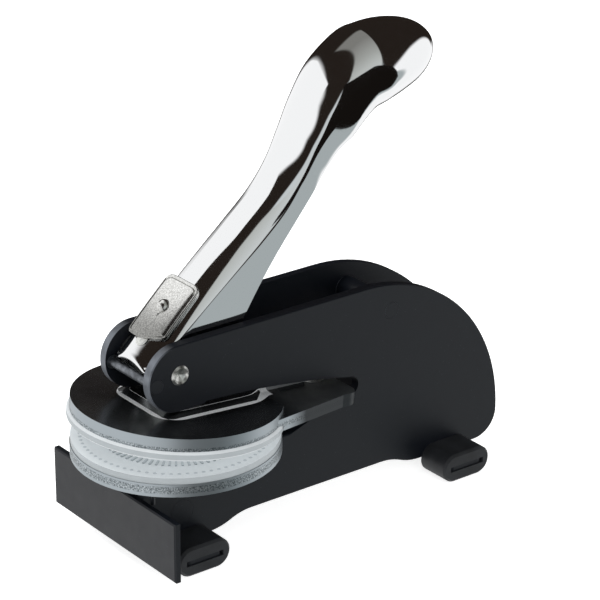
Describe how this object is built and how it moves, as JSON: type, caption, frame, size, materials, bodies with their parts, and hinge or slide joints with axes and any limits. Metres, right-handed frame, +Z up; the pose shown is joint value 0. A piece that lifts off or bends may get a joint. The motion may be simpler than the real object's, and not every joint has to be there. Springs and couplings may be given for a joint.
{
  "type": "seal embosser",
  "caption": "Hand-held lever press: two plate cheeks carry a chrome lever whose cam closes a hinged pair of round dies.",
  "frame": {"origin": "middle of the footprint, on the table", "axes": "+Z up, +Y towards the rear, +X towards the rolled end of the pivot rivet"},
  "size_m": [0.0522, 0.1194, 0.1187],
  "materials": {
    "powder_coat": "satin black powder coat",
    "bright_steel": "bright zinc plate",
    "foot_rubber": "matte moulded rubber",
    "clip_steel": "blackened top with bright sheared rims",
    "die_plastic": "semi-matte moulded plastic",
    "lever_chrome": "polished chrome plate",
    "latch_nickel": "satin nickel plate"
  },
  "bodies": {
    "frame_body": {"left_cheek": "powder_coat", "right_cheek": "powder_coat", "front_cross_bar": "bright_steel", "rear_spacer": "powder_coat", "lower_spacer": "powder_coat", "pivot_rivet": "bright_steel", "pivot_washers": "bright_steel", "front_plate": "powder_coat", "front_foot_bar": "powder_coat", "rear_foot_bar": "powder_coat", "front_left_foot": "foot_rubber", "front_right_foot": "foot_rubber", "rear_left_foot": "foot_rubber", "rear_right_foot": "foot_rubber", "lower_leaf": "clip_steel", "lower_die": "die_plastic", "clip_block": "bright_steel", "clip_rivets": "bright_steel", "locating_pins": "bright_steel"},
    "lever_body": {"handle": "lever_chrome", "press_cam": "bright_steel", "cam_rivet": "bright_steel", "latch_stop_rivet": "bright_steel"},
    "latch_body": {"latch_plate": "latch_nickel", "latch_stem": "bright_steel", "latch_keeper": "bright_steel"},
    "clip_body": {"upper_leaf": "clip_steel", "upper_die": "die_plastic"}
  },
  "joints": [
    {"name": "lever_pivot", "type": "hinge", "parent": "frame_body", "child": "lever_body", "pos_m": [0, -0.0393, 0.0478], "axis": [1, 0, 0], "range_deg": [-36.8, 0]},
    {"name": "clip_hinge", "type": "hinge", "parent": "frame_body", "child": "clip_body", "pos_m": [0, 0.0078, 0.0291], "axis": [1, 0, 0], "range_deg": [0, 4.5]},
    {"name": "latch_slide", "type": "slide", "parent": "lever_body", "child": "latch_body", "axis": [0, -0.7337, -0.6794], "range_m": [0, 0.005]}
  ],
  "couplings": [
    {"joint": "clip_hinge", "follows": "lever_pivot", "ratio": -0.1223}
  ]
}
